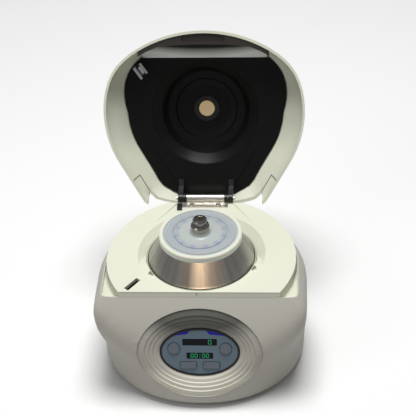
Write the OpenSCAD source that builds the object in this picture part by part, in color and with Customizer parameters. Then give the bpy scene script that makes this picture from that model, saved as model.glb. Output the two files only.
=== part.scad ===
// Bench microcentrifuge with a domed lid that opens upwards.
// The rotor axis is the Z axis, the bench is z = 0 and the front faces -Y.
// The lid's pieces are drawn closed and then turned open about the hinge.

/* [Housing] */
// Height of the rubber feet
foot_h = 6; // [4:1:8]
// Height of the housing rim above the bench
rim_h = 134; // [132:0.5:135]
// Radius of the housing rim in plan
rim_r = 114; // [113.5:0.5:116]
// Largest radius of the housing, below the rim
side_r = 124; // [121:0.5:127]
// Radius of the housing at the bench
base_r = 121; // [118:0.5:123]
// How far the centre of the round back lies in front of the rotor axis
plan_shift = 5; // [4:0.5:6]
// Distance from the rotor axis to the straight top edge of the front
front_top = 68.6; // [68.4:0.1:70]
// Distance from the rotor axis to the foot of the front
front_base = 112; // [106:1:116]
// Distance from the rotor axis to the flat back
rear_flat = 110; // [109:0.5:111]
// Wall of the housing
housing_wall = 3; // [2.4:0.2:3.4]
// Wall of the housing at its rim
rim_wall = 1.2; // [1:0.1:1.3]
// Thickness of the base plate
base_t = 2.5; // [2:0.5:3]

/* [Deck] */
// Height of the deck beside the chamber
deck_h = 142.5; // [142:0.25:143]
// Slope of the deck, in degrees, rising to the back
deck_slope = 1.9; // [1.7:0.1:2.1]
// Radius of the deck
deck_r = 110.5; // [109.5:0.5:111]
// Distance from the rotor axis to the front edge of the deck
deck_front = 67.2; // [67:0.1:67.4]
// Distance from the rotor axis to the rear edge of the deck
deck_rear = 96.5; // [95:0.5:97]
// Thickness of the deck
deck_t = 4.5; // [4:0.5:5]
// Radius of the dish round the chamber, at the top of the deck
dish_r = 75.2; // [75:0.5:78]

/* [Chamber] */
// Inner radius of the chamber bowl
bowl_r = 64; // [63.8:0.1:64.2]
// Wall of the chamber bowl
bowl_wall = 1.2; // [1:0.2:1.6]
// Height of the bowl floor above the bench
bowl_floor = 104; // [102:1:106]

/* [Drive] */
// Radius of the motor body
motor_r = 34; // [30:1:36]
// Height of the motor body
motor_h = 58; // [50:1:62]
// Diameter of the drive shaft
shaft_d = 8; // [7:0.5:9]

/* [Rotor] */
// Gap between the rotor and the chamber bowl
rotor_gap = 1.6; // [1.4:0.1:2]
// Radius of the rotor at its top edge
rotor_top_r = 47.5; // [47:0.5:48]
// Height of the rotor's top edge above the bench
rotor_top = 168; // [167:0.5:169]
// Height of the rotor's widest edge above the bench
rotor_edge = 141; // [140:0.5:142]
// Number of tube places
tubes = 12; // [8:1:12]
// Diameter of a tube place
tube_d = 11; // [10.6:0.1:11.4]
// Lean of the tube places from the vertical, in degrees
tube_lean = 45; // [43:1:47]
// Depth of a tube place along its own axis
tube_depth = 34; // [28:1:35]
// Height of the rotor cover
cover_h = 7; // [6.5:0.5:7.5]

/* [Lid] */
// Height of the lid above its rim
lid_h = 80; // [79:1:84]
// Radius of the lid's rim in plan
lid_r = 122; // [120:0.5:124]
// Distance from the rotor axis to the front tip of the lid
lid_front = 103; // [101:0.5:106]
// Distance from the rotor axis to the back of the lid
lid_rear = 114.5; // [114.5:0.5:116]
// Wall of the lid
lid_wall = 3; // [2.6:0.2:3]
// Gap between the closed lid and the housing rim
lid_gap = 1; // [1:0.2:1.6]
// Angle between the closed lid and the open lid
lid_open = 114; // [110:1:115]
// Height of the black liner above the lid's rim
liner_h = 33; // [32.5:0.5:34]
// Thickness of the liner
liner_t = 2; // [1.6:0.2:2.4]
// Radius of the round dish in the liner
liner_dish_r = 66; // [65.5:0.5:67]
// Radius of the viewing window
window_r = 10; // [9:0.5:11]

/* [Hinge] */
// Distance from the rotor axis to the hinge axis
hinge_y = 104; // [103.8:0.1:104.2]
// Height of the hinge axis above the bench
hinge_z = 148; // [147.8:0.1:148.4]
// Diameter of the hinge pin
pin_d = 4; // [3.6:0.1:4.4]
// Radius of the rolled barrel
barrel_r = 4.6; // [4.4:0.1:5]
// Half length of the barrel
barrel_half = 23; // [22:0.5:23]
// Thickness of the hinge leaf
leaf_t = 1.5; // [1.2:0.1:1.8]

/* [Latch] */
// Distance of the latch to the left of the rotor axis
latch_x = 77; // [76:0.5:78]
// Distance of the latch in front of the rotor axis
latch_y = 54; // [53:0.5:54]
// Turn of the latch slot in plan, in degrees
latch_turn = 54; // [50:1:58]
// Height of the striker's lower end above the bench, with the lid closed
striker_foot = 118; // [117:1:119]

/* [Front panel] */
// Height of the panel's centre above the bench
panel_z = 73; // [71:0.5:75]
// Lean of the panel from the vertical, in degrees
panel_lean = 20; // [19:0.5:21]
// Half width of the oval surround
oval_a = 72.5; // [71:0.5:73]
// Half height of the oval surround
oval_b = 55; // [54:0.5:56]
// Half width of the control panel
panel_a = 46; // [45:0.5:47]
// Half height of the control panel
panel_b = 29; // [28.5:0.5:30]
// Depth of the control panel below the housing's surface
panel_depth = 10; // [9:0.5:11]
// Radius of the round buttons
round_r = 6.6; // [6:0.2:7]
// Width of the lower buttons
key_w = 18.6; // [17:0.2:19]
// Height of the lower buttons
key_h = 7.6; // [7:0.2:8]
// How far the buttons stand out of the panel
button_out = 1.4; // [1.2:0.1:1.8]

/* [Power] */
// Height of the inlet and the switch above the bench
power_z = 40; // [36:1:46]
// Width of the power inlet
inlet_w = 27; // [26:0.5:28]
// Height of the power inlet
inlet_h = 20; // [19:0.5:21]

/* [Hidden] */
rotor_r = bowl_r - rotor_gap;
cover_r = rotor_top_r + 1;

cream = [0.93, 0.93, 0.87];
stone = [0.74, 0.74, 0.68];
black = [0.08, 0.08, 0.09];
steel = [0.78, 0.78, 0.77];
play = 0.3;
over = 1;
fine = 96;

// Plan outlines, each as the distance from the rotor axis in direction t
function to_circle(t, r, c) = c * sin(t) + sqrt(r * r - pow(c * cos(t), 2));
function to_line(t, d, a) = cos(t - a) > 0.01 ? d / cos(t - a) : 100 * d;
function sum(v, i = 0) = i < len(v) ? v[i] + sum(v, i + 1) : 0;
// the nearest of several outlines, with the corner between them rounded
function nearest(v, p) = 100 * pow(sum([for (r = v) pow(r / 100, -p)]), -1 / p);
function lerp(a, b, k) = a + (b - a) * k;
function spread(a, b, n) = [for (i = [0:n - 1]) lerp(a, b, i / (n - 1))];

// the housing from u = 0, its rim, down to u = 1, its foot
flare = 0.2;
tuck = 3;
function level_z(u) = lerp(rim_h, foot_h, u);
function level_u(z) = (rim_h - z) / (rim_h - foot_h);
function level_r(u) = u < flare ? lerp(rim_r, side_r, sin(90 * u / flare))
    : lerp(side_r, base_r, pow((u - flare) / (1 - flare), 2));
function front_b(u) = lerp(front_top, front_base, 1 - pow(1 - u, 1.9));
function front_power(u) = 2.1 + 24 * pow(1 - u, 4);
function half_width(u) = sqrt(pow(level_r(u), 2) - plan_shift * plan_shift);
function edge_tuck(u) = u > 0.95 ? tuck * pow((u - 0.95) / 0.05, 2) : 0;
function housing_r(t, u) = sin(t) < -0.0001
    ? pow(pow(abs(cos(t)) / half_width(u), front_power(u))
        + pow(abs(sin(t)) / front_b(u), front_power(u)), -1 / front_power(u))
    : nearest([to_circle(t, level_r(u), -plan_shift), to_line(t, rear_flat, 90)], 40);
corner = atan(front_top / rim_r);
housing_angles = concat(spread(3 - corner, 177 + corner, 37),
    [for (d = [-1, 0, 1]) 180 + corner + d], spread(183 + corner, 357 - corner, 23),
    [for (d = [-1, 0, 1]) 360 - corner + d]);
function housing_ring(u, inset) = [for (t = housing_angles)
    let (r = housing_r(t, u) - inset) [r * cos(t), r * sin(t), level_z(u)]];
function flat(ring) = [for (p = ring) [p[0], p[1]]];
// where the front surface lies at a height z, x to the side of the middle
function front_y(x, z) = let (u = level_u(z), n = front_power(u))
    -front_b(u) * pow(1 - pow(abs(x) / half_width(u), n), 1 / n);

// the lid's egg: round sides, a flatter front and straight tapering rear sides
lid_shift = 6;
lid_taper = 31;
front_arc = 160;
function lid_side(t, r) = let (tip = atan2(r * sin(lid_taper) - lid_shift, r * cos(lid_taper)),
    d = r - lid_shift * sin(lid_taper))
    t > tip && t <= 90 ? to_line(t, d, lid_taper)
    : t > 90 && t < 180 - tip ? to_line(t, d, 180 - lid_taper) : to_circle(t, r, -lid_shift);
function lid_plan(t, inset) = nearest([lid_side(t, lid_r - inset),
    to_circle(t, front_arc - inset, front_arc - lid_front), to_line(t, lid_rear - inset, 90)], 30);
// the dome is steeper above the hinge and at the front than at the sides
function dome_power(t) = 1.6 + 2.2 * pow(max(0, sin(t)), 20) + 0.9 * max(0, -sin(t));
function dome_share(t, k) = pow(1 - pow(k, dome_power(t)), 1 / dome_power(t));
lid_z = rim_h + lid_gap;
lid_angles = [for (i = [0:71]) 5 * i];
function dome_ring(h, inset) = [for (t = lid_angles)
    let (r = lid_plan(t, inset) * dome_share(t, h / (lid_h - inset)))
    [r * cos(t), r * sin(t), lid_z + h]];
liner_z = lid_z + liner_h;

// heights and places that several pieces share
deck_mid = 15;
channel_z = hinge_z - 3.4;
flange_z = rim_h - 8;
flange_t = 2.5;
dish_z = deck_h - 3;
dish_foot = deck_h - 11.5;
// height of the deck's surface beside the rotor axis
deck_mid_z = deck_h + deck_mid * tan(deck_slope);
dish_tip = 18;
dish_fall = 18;
floor_top = foot_h + base_t;
motor_top = bowl_floor - 6;
post_ring = 54;
mount_h = 10;
flange_plate = 4;
knob_z = rotor_top + cover_h + 5;
stud_top = knob_z + 3.5;
hub_top = 150;
shaft_top = 136;
lug_in = barrel_half + 5;
leaf_hole = 12;
lug_w = 6;

// a closed solid through rings of points, with a flat cap at each end
module loft(rings) {
    n = len(rings[0]);
    m = len(rings);
    e = (m - 1) * n;
    sides = [for (i = [0:m - 2], j = [0:n - 1])
        let (a = i * n + j, b = i * n + (j + 1) % n) each [[a, b + n, b], [a, a + n, b + n]]];
    first = [for (j = [0:n / 2 - 2]) each [[j, j + 1, n - 2 - j], [j, n - 2 - j, n - 1 - j]]];
    last = [for (f = first) [e + f[0], e + f[2], e + f[1]]];
    polyhedron([for (r = rings) each r], concat(sides, first, last), convexity = 6);
}
// a closed ring-shaped solid, with the last ring of points joined to the first
module loop_loft(rings) {
    n = len(rings[0]);
    m = len(rings);
    sides = [for (i = [0:m - 1], j = [0:n - 1])
        let (a = i * n + j, b = i * n + (j + 1) % n, up = ((i + 1) % m) * n,
            c = up + (j + 1) % n, d = up + j) each [[a, c, b], [a, d, c]]];
    polyhedron([for (r = rings) each r], sides, convexity = 6);
}
module tube(outer, inner, h) {
    rotate_extrude($fn = fine) translate([inner, 0]) square([outer - inner, h]);
}
module screw(d, length) {
    difference() {
        union() {
            cylinder(d = 2 * d, h = 0.6 * d, $fn = 24);
            translate([0, 0, -length]) cylinder(d = d, h = length + 0.1, $fn = 24);
        }
        translate([0, 0, 0.25 * d]) cylinder(d = d, h = d, $fn = 6);
    }
}
module four(x, front, rear) {
    for (sx = [-1, 1], y = [-front, rear]) translate([sx * x, y, 0]) children();
}
// turns what is drawn closed to the open lid's place
module lid_place() {
    translate([0, hinge_y, hinge_z]) rotate([-lid_open, 0, 0])
        translate([0, -hinge_y, -hinge_z]) children();
}

// Base
foot_x = base_r - 49;
foot_front = 58;
foot_rear = 68;
module base_pan() {
    color(stone) difference() {
        union() {
            translate([0, 0, foot_h]) linear_extrude(base_t)
                polygon(flat(housing_ring(1, tuck + housing_wall + play)));
            translate([0, 0, foot_h]) for (a = [45:90:315]) rotate(a)
                translate([post_ring, 0, 0]) cylinder(d = 14,
                    h = motor_top - mount_h - foot_h, $fn = 48);
            four(foot_x, foot_front, foot_rear)
                translate([0, 0, foot_h]) cylinder(d = 12, h = 9, $fn = 48);
        }
        four(foot_x, foot_front, foot_rear)
            translate([0, 0, foot_h - over]) cylinder(d = 4, h = 9, $fn = 24);
        for (x = [-60:12:60]) translate([x - 2, base_r - 39, 0]) cube([4, 16, 20]);
    }
}
module feet() {
    color(black) four(foot_x, foot_front, foot_rear) rotate_extrude($fn = 64)
        polygon([[2.3, 2.5], [4.6, 2.5], [4.6, 0], [8, 0], [9, 1], [9.6, foot_h], [2.3, foot_h]]);
}
module foot_screws() {
    color(steel) four(foot_x, foot_front, foot_rear)
        translate([0, 0, 2.5]) rotate([180, 0, 0]) screw(3.6, 9.5);
}

// Housing and deck
module front_place(depth) {
    translate([0, front_y(0, panel_z), panel_z]) rotate([90 - panel_lean, 0, 0])
        translate([0, 0, -depth]) children();
}
function oval(a, b, n = 60) = [for (i = [0:n - 1]) [a * cos(360 * i / n), b * sin(360 * i / n)]];
notch_half = 76;
switch_x = 18;
inlet_x = -15;
module housing() {
    outside = [1, 0.985, 0.96, 0.92, 0.85, 0.76, 0.66, 0.56, 0.46, 0.36, 0.27, 0.2, 0.14, 0.09, 0.04, 0];
    inside = [0, 0.05, 0.12, 0.2, 0.4, 0.6, 0.8, 0.96, 1];
    color(stone) difference() {
        loop_loft(concat([for (u = outside) housing_ring(u, edge_tuck(u))],
            [for (u = inside) housing_ring(u, edge_tuck(u) + (u < 0.06 ? rim_wall : housing_wall))]));
        front_place(40) linear_extrude(80) polygon(oval(oval_a + play, oval_b + play));
        translate([-notch_half, deck_rear - 30, flange_z]) cube([2 * notch_half, 60, 30]);
        translate([inlet_x - inlet_w / 2 - play, rear_flat - 10, power_z - inlet_h / 2 - play])
            cube([inlet_w + 2 * play, 20, inlet_h + 2 * play]);
        translate([switch_x - 10 - play, rear_flat - 10, power_z - 14 - play])
            cube([20 + 2 * play, 20, 28 + 2 * play]);
        for (x = [-32:8:32]) translate([x - 1.5, rear_flat - 10, 70]) cube([3, 20, 34]);
    }
}
// everything below the sloping deck surface, moved down by drop
module under_deck(drop) {
    translate([0, -deck_mid, deck_h - drop]) rotate([deck_slope, 0, 0])
        translate([-200, -200, -100]) cube([400, 400, 100]);
}
// the deck's raised block, drawn in by inset
module deck_block(inset, foot) {
    intersection() {
        translate([0, -plan_shift, foot]) cylinder(r1 = deck_r + 1.6 - inset,
            r2 = deck_r - 0.3 - inset, h = 160 - foot, $fn = 180);
        rotate([90, 0, 90]) translate([0, 0, -200]) linear_extrude(400) polygon([
            [-deck_front + 0.5 + inset, foot - over], [-deck_front + 0.5 + inset, rim_h + play],
            [-deck_front - 1.2 + inset, rim_h + play], [-deck_front + inset, rim_h + 5],
            [-deck_front + inset, 160],
            [deck_rear - inset, 160], [deck_rear - inset, foot - over]]);
        under_deck(inset > 0 ? deck_t : 0);
    }
}
// the dish: a 45 degree wall round the chamber, over a floor that falls away to the rear
module dish_cut() {
    bottom = deck_mid_z - dish_r + bowl_r;
    intersection() {
        rotate_extrude($fn = fine) polygon([[0, bottom], [bowl_r, bottom],
            [dish_r + 8, deck_mid_z + 8], [dish_r + 8, 200], [0, 200]]);
        translate([-100, -dish_tip, deck_h + (deck_mid - dish_tip) * tan(deck_slope)])
            rotate([-dish_fall, 0, 0]) cube([200, 260, 100]);
    }
}
module top_deck() {
    color(cream) difference() {
        union() {
            difference() {
                union() {
                    deck_block(0, flange_z);
                    translate([0, 0, flange_z]) linear_extrude(flange_t)
                        polygon(flat(housing_ring(level_u(flange_z), housing_wall + play)));
                }
                deck_block(housing_wall, flange_z - 10);
            }
            intersection() {
                translate([0, 0, dish_foot]) tube(dish_r + 4, bowl_r, 30);
                deck_block(0.4, dish_foot - over);
            }
        }
        translate([0, 0, flange_z - over]) cylinder(r = bowl_r + bowl_wall + play, h = 60, $fn = fine);
        dish_cut();
        translate([0, 0, channel_z]) linear_extrude(20)
            polygon([[-40, deck_rear + 9], [40, deck_rear + 9], [34, deck_rear], [58, 60],
                [-58, 60], [-34, deck_rear]]);
        translate([-latch_x, -latch_y, 100]) rotate(latch_turn) translate([-11, -3.2, 0])
            cube([22, 6.4, 60]);
        for (a = [-148, -22]) rotate(a) translate([bowl_r + 1.5, 0, dish_z - 2.2])
            cylinder(r = 4.5, h = 20, $fn = 48);
        for (sx = [-1, 1]) translate([sx * 16, hinge_y - leaf_hole, 130]) cylinder(d = 3.2, h = 40, $fn = 24);
    }
}

// Front panel
// how far the housing's surface stands out of the panel's own plane
function bulge(x, y) = (front_y(0, panel_z) + y * sin(panel_lean)
    - front_y(x, panel_z + y * cos(panel_lean))) * cos(panel_lean);
// share of the way from the outer to the inner oval, and depth below the surface
steps = [[0, 0], [0.03, 1.4], [0.3, 2.2], [0.33, 3.6], [0.5, 4], [0.53, 5.4], [0.68, 5.8],
    [0.71, 7.2], [0.86, 7.6], [1, panel_depth]];
function surround_ring(k, depth) = [for (p = oval(1, 1))
    let (x = lerp(oval_a, panel_a + 0.6, k) * p[0], y = lerp(oval_b, panel_b + 0.6, k) * p[1],
        k2 = pow(1 - k, 2))
    [x, y, bulge(x, y) * k2 - depth]];
module oval_surround() {
    back = 2.4;
    color(stone) front_place(0) loop_loft(concat([surround_ring(0, housing_wall)],
        [for (s = steps) surround_ring(s[0], s[1])],
        [surround_ring(1, panel_depth + back), surround_ring(0.71, 7.6 + back),
            surround_ring(0.33, 4 + back)]));
}
module panel_rim() {
    color(black) front_place(panel_depth + 2.4) linear_extrude(3.4) difference() {
        polygon(oval(panel_a + 0.3, panel_b + 0.3));
        polygon(oval(panel_a - 1.6, panel_b - 1.6));
    }
}
round_x = 30;
round_y = 4.4;
key_x = 13.4;
key_y = -16.4;
speed_size = [40, 8.4];
speed_y = 12.2;
time_size = [31, 7.8];
time_y = -4.6;
panel_t = 2;
module bar(size, h) {
    linear_extrude(h) offset(1, $fn = 16) square([size[0] - 2, size[1] - 2], center = true);
}
module control_panel() {
    color([0.42, 0.5, 0.55]) front_place(panel_depth + 1.6) difference() {
        linear_extrude(panel_t) polygon(oval(panel_a - 1.8, panel_b - 1.8));
        for (sx = [-1, 1]) {
            translate([sx * round_x, round_y, -over]) cylinder(r = round_r + play, h = 9, $fn = 64);
            translate([sx * key_x, key_y, -over])
                bar([key_w + 2 * play, key_h + 2 * play], 9);
        }
        translate([0, speed_y, 0.8]) bar(speed_size, 9);
        translate([0, time_y, 0.8]) bar(time_size, 9);
    }
}
module display(size, y) {
    front_place(panel_depth + 0.8) translate([0, y, 0])
        bar([size[0] - 0.2, size[1] - 0.2], 0.9);
}
module speed_display() { color([0.05, 0.08, 0.08]) display(speed_size, speed_y); }
module time_display() { color([0.05, 0.08, 0.08]) display(time_size, time_y); }
board_depth = panel_depth + 7;
module display_board() {
    color([0.1, 0.35, 0.2]) front_place(board_depth) union() {
        translate([-38, -23, 0]) cube([76, 44, 1.6]);
        for (sx = [-1, 1]) translate([sx * 20, -2, 1.6]) cylinder(d = 5, h = 3.8, $fn = 32);
    }
}
// a push button with its stem down to the board
module round_button(side) {
    color([0.35, 0.43, 0.48]) front_place(board_depth - 3) translate([side * round_x, round_y, 0])
        union() {
            translate([0, 0, 1.1]) cylinder(r = round_r + 1.2, h = 1, $fn = 64);
            cylinder(d = 5, h = 3, $fn = 32);
            translate([0, 0, 0.8]) cylinder(r = round_r, h = 3.6 + button_out, $fn = 64);
        }
}
module key_button(side) {
    color([0.35, 0.43, 0.48]) front_place(board_depth - 3) translate([side * key_x, key_y, 0])
        union() {
            translate([0, 0, 1.1]) bar([key_w + 2.2, key_h + 2.2], 1);
            cylinder(d = 5, h = 3, $fn = 32);
            translate([0, 0, 0.8]) bar([key_w, key_h], 3.6 + button_out);
        }
}
module left_round_button() { round_button(-1); }
module right_round_button() { round_button(1); }
module lower_left_button() { key_button(-1); }
module lower_right_button() { key_button(1); }

// Chamber
module chamber_bowl() {
    w = bowl_wall;
    color(steel) union() {
        rotate_extrude($fn = fine) polygon([[18, bowl_floor], [bowl_r - 9, bowl_floor],
            [bowl_r - 2, bowl_floor + 3], [bowl_r + w, bowl_floor + 12], [bowl_r + w, dish_foot],
            [bowl_r, dish_foot], [bowl_r, bowl_floor + 12.5], [bowl_r - 3, bowl_floor + 4.6],
            [bowl_r - 9.5, bowl_floor + w], [19.2, bowl_floor + w], [19.2, bowl_floor + 4],
            [18, bowl_floor + 4]]);
        intersection() {
            translate([0, 0, dish_foot - w]) tube(dish_r + 2, bowl_r + w / 2, w);
            translate([-100, housing_wall + play - deck_front + 0.5, dish_foot - 9])
                cube([200, 200, 18]);
        }
    }
}
module chamber_seal() {
    r = bowl_r;
    top = deck_h - 1.9;
    color([0.6, 0.64, 0.55]) rotate_extrude($fn = fine) polygon([[r - 0.4, dish_foot],
        [r + bowl_wall, dish_foot], [r + bowl_wall, top - 0.5], [r + bowl_wall - 0.5, top],
        [r - 0.3, top], [r - 0.8, top - 0.6], [r - 0.8, top - 2.4], [r - 0.4, top - 3.2]]);
}

// Drive
module motor_body() {
    color([0.3, 0.31, 0.33]) translate([0, 0, motor_top - motor_h]) difference() {
        union() {
            rotate_extrude($fn = fine) polygon([[0, 0], [motor_r - 4, 0], [motor_r, 4],
                [motor_r, motor_h], [shaft_d / 2 + 5, motor_h], [shaft_d / 2 + 5, motor_h - 12],
                [0, motor_h - 12]]);
            for (a = [0:20:340]) rotate(a) translate([motor_r - 1, -1, 8]) cube([3, 2, motor_h - 20]);
        }
        translate([0, 0, motor_h - 34]) cylinder(d = shaft_d + 1, h = 30, $fn = 48);
    }
}
module motor_flange() {
    color(steel) translate([0, 0, motor_top]) difference() {
        union() {
            cylinder(r = motor_r, h = flange_plate, $fn = fine);
            for (a = [45:90:315]) rotate(a) translate([0, -9, 0])
                cube([post_ring, 18, flange_plate]);
            for (a = [45:90:315]) rotate(a) translate([post_ring, 0, 0])
                cylinder(r = 9, h = flange_plate, $fn = 48);
        }
        translate([0, 0, -over]) cylinder(d = shaft_d + 10, h = 9, $fn = 64);
        for (a = [45:90:315]) rotate(a) translate([post_ring, 0, -over])
            cylinder(d = 5, h = 9, $fn = 24);
    }
}
module motor_mounts() {
    color(black) for (a = [45:90:315]) rotate(a) translate([post_ring, 0, motor_top - mount_h])
        rotate_extrude($fn = 48) polygon([[0, 0], [7, 0], [7, 2.5], [5.5, mount_h / 2],
            [7, mount_h - 2.5], [7, mount_h], [2.3, mount_h], [2.3, mount_h + 3], [0, mount_h + 3]]);
}
module shaft_bearing() {
    color(steel) translate([0, 0, motor_top - 8])
        tube(shaft_d / 2 + 4.9, shaft_d / 2 + 0.05, 10);
}
module drive_shaft() {
    color(steel) translate([0, 0, motor_top - 32]) rotate_extrude($fn = fine) polygon([[0, 0],
        [shaft_d / 2, 0], [shaft_d / 2, shaft_top - motor_top + 31],
        [shaft_d / 2 - 1, shaft_top - motor_top + 32], [0, shaft_top - motor_top + 32]]);
}

// Rotor and its cover
seat_in = rotor_top_r - 3.5;
seat_depth = 23;
seat_mid = 31.5;
module rotor() {
    bottom = bowl_floor + 12;
    color([0.72, 0.71, 0.69]) difference() {
        rotate_extrude($fn = 144) polygon([[0, bottom], [24, bottom], [26, bottom + 3],
            [52, bottom + 6], [rotor_r - 4, bottom + 10], [rotor_r - 0.5, bottom + 15],
            [rotor_r, rotor_edge], [rotor_r - 1, rotor_edge + 1.6],
            [rotor_top_r + 0.6, rotor_top - 1], [rotor_top_r, rotor_top], [seat_in, rotor_top],
            [seat_in - seat_depth, rotor_top - seat_depth], [12, rotor_top - seat_depth],
            [12, hub_top], [0, hub_top]]);
        translate([0, 0, bottom - over]) cylinder(d = shaft_d + 0.1, h = shaft_top - bottom + 2, $fn = 64);
        for (i = [0:tubes - 1]) rotate(360 / tubes * (i + 0.5))
            translate([seat_mid, 0, rotor_top - seat_in + seat_mid]) rotate([0, 180 - tube_lean, 0])
                translate([0, 0, -12]) cylinder(d = tube_d, h = tube_depth + 12, $fn = 48);
    }
}
module rotor_stud() {
    color(steel) translate([0, 0, hub_top]) rotate_extrude($fn = 64) polygon([[0, 0], [9, 0],
        [9, 2], [4, 3], [4, stud_top - hub_top - 1], [3.2, stud_top - hub_top],
        [0, stud_top - hub_top]]);
}
module rotor_cover() {
    r = cover_r;
    color([0.8, 0.85, 0.9, 0.8]) translate([0, 0, rotor_top]) rotate_extrude($fn = 144) polygon([
        [4.3, cover_h - 3], [12, cover_h - 2.6], [r - 8, cover_h - 2.6], [r - 7, 0],
        [r - 7, -1], [r - 6.4, -1], [r - 6.2, 0], [r - 3.8, 0], [r - 3.8, 1.2], [r - 1.3, 1.2],
        [r - 1.3, 0], [r, 0], [r, cover_h - 1], [r - 1, cover_h], [r - 5, cover_h],
        [r - 5.8, cover_h - 1.2], [r - 7.4, cover_h - 1.2], [r - 8.2, cover_h],
        [33, cover_h + 0.2], [32.2, cover_h - 1], [30.8, cover_h - 1], [30, cover_h + 0.4],
        [15, cover_h + 0.8], [12.5, cover_h + 1.6], [11, cover_h + 4.7], [4.3, cover_h + 4.7]]);
}
module cover_seal() {
    color([0.7, 0.75, 0.8]) translate([0, 0, rotor_top])
        tube(cover_r - 1.5, cover_r - 3.6, 1.1);
}
module cover_knob() {
    color([0.35, 0.35, 0.36]) translate([0, 0, knob_z]) rotate_extrude($fn = fine) polygon([
        [4.2, 0], [11, 0], [11, 5.8], [9.8, 7.2], [7, 8], [6.8, 10], [8.4, 11], [8.4, 13.6],
        [7.6, 14.4], [5.4, 14.8], [5, 14.2], [0, 14.2], [0, 4.2], [4.2, 4.2]]);
}

// Lid
dome_out = [0, 0.02, 0.06, 0.12, 0.2, 0.29, 0.38, 0.47, 0.56, 0.65, 0.74, 0.82, 0.89, 0.945];
dome_in = [0.92, 0.84, 0.74, 0.62, 0.49, 0.36, 0.23, 0.11, 0.04, 0];
port_r = window_r + 2.6;
function port_ring(z) = [for (t = lid_angles) [port_r * cos(t), port_r * sin(t), z]];
module lid_shell() {
    color(cream) lid_place() difference() {
        loop_loft(concat([for (k = dome_out) dome_ring(k * lid_h, 0)],
            [port_ring(lid_z + lid_h * 0.985), port_ring(lid_z + (lid_h - lid_wall) * 0.985)],
            [for (k = dome_in) dome_ring(k * (lid_h - lid_wall), lid_wall)]));
        translate([-70, 85, lid_z - over]) cube([140, 60, hinge_z + 7 - lid_z + over]);
    }
}
dish = [[liner_dish_r, 0], [liner_dish_r - 1.5, 2], [liner_dish_r - 12, 12.5],
    [liner_dish_r - 14.5, 20], [liner_dish_r - 18, 25], [39, 26.5], [37, 29], [30, 30.5], [window_r + 6, 31]];
dish_top = dish[len(dish) - 1][1];
band_n = 24;
// the lip's inner edge: share of its half width, and distance behind the lid's front
lip_half = 79;
lip_edge = [[-1, 31], [-0.88, 25.4], [-0.7, 19.4], [-0.35, 16.9], [0, 16.3], [0.35, 16.9],
    [0.7, 19.4], [0.88, 25.4], [1, 31]];
// one rib of the curved front wall: x across, k from the flat liner down to the front lip
band_low = lid_z + 5;
liner_front = 67;
band_half = 76;
function band_point(x, k, out) = let (low = lookup(x / lip_half, lip_edge) - lid_front,
    side = 1 - pow(abs(x) / (band_half + 4), 6))
    [x, lerp(-0.2 - liner_front, min(low, -liner_front - 3), pow(k, 0.8)) - out,
        lerp(liner_z, lerp(liner_z - 8, band_low, side), k)];
function band_ring(x) = concat([for (k = [0:0.125:1]) band_point(x, k, 0)],
    [for (k = [1:-0.125:0]) band_point(x, k, liner_t)]);
module liner_outline(inset) {
    intersection() {
        polygon(flat(dome_ring(liner_h + liner_t, lid_wall + inset)));
        translate([-150, -liner_front]) square([300, 300]);
    }
}
module lid_liner() {
    color(black) lid_place() difference() {
        union() {
            translate([0, 0, liner_z]) linear_extrude(liner_t) difference() {
                liner_outline(0.5);
                circle(r = liner_dish_r - 0.5, $fn = fine);
            }
            translate([0, 0, liner_z]) rotate_extrude($fn = fine) polygon(concat(dish,
                [for (i = [len(dish) - 1:-1:0]) dish[i] + [0, liner_t]]));
        }
        for (sx = [-1, 1]) translate([sx * 47, 73, liner_z - 0.1]) rotate(sx * 31)
            translate([-0.9, -29, 0]) cube([1.8, 58, 0.8]);
    }
}
module liner_front_wall() {
    color([0.14, 0.14, 0.15]) lid_place()
        loft([for (i = [0:band_n]) band_ring(lerp(-band_half, band_half, i / band_n))]);
}
module front_lip() {
    color([0.2, 0.17, 0.15]) lid_place() translate([0, 0, lid_z + 1]) difference() {
        linear_extrude(3.6) intersection() {
            polygon([for (t = lid_angles) lid_plan(t, lid_wall + play) * [cos(t), sin(t)]]);
            polygon(concat([for (p = lip_edge) [p[0] * lip_half, p[1] - lid_front]],
                [[lip_half, -lid_front - 20], [-lip_half, -lid_front - 20]]));
        }
        translate([0, 12 - lid_front, -over]) linear_extrude(3.2)
            polygon([[-26, 1], [26, 1], [26, -4.5], [21.5, -7.8], [-21.5, -7.8], [-26, -4.5]]);
    }
}
window_z = lid_z + lid_h - lid_wall;
window_low = liner_z + dish_top - 0.6;
module view_window() {
    h = window_z + 2.4 - window_low;
    color([0.85, 0.78, 0.6, 0.8]) lid_place() translate([0, 0, window_low]) rotate_extrude($fn = 64)
        polygon([[0, 0], [window_r - 0.6, 0], [window_r, 0.6], [window_r, h - 1], [window_r - 1, h],
            [0, h]]);
}
module window_ring() {
    low = liner_z + dish_top - 1.2;
    color(black) lid_place() translate([0, 0, low]) rotate_extrude($fn = 64) polygon([
        [window_r + 0.2, 0], [window_r + 5.8, 0], [window_r + 5.8, 1.2], [window_r + 2.4, 1.2],
        [window_r + 2.4, window_z + 2.6 - low], [window_r + 0.2, window_z + 2.6 - low]]);
}
module striker() {
    color(steel) lid_place() translate([-latch_x, -latch_y, striker_foot]) rotate(latch_turn)
        rotate([90, 0, 0]) union() {
            translate([0, 0, -1.5]) linear_extrude(3) difference() {
                translate([-8, 0]) square([16, liner_z - striker_foot]);
                translate([-4.8, 3.4]) square([9.6, 9.6]);
                translate([-4.8, 17]) square([9.6, 22]);
            }
            translate([-7, liner_z - striker_foot - 2, -4]) cube([15, 2, 7]);
        }
}

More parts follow.
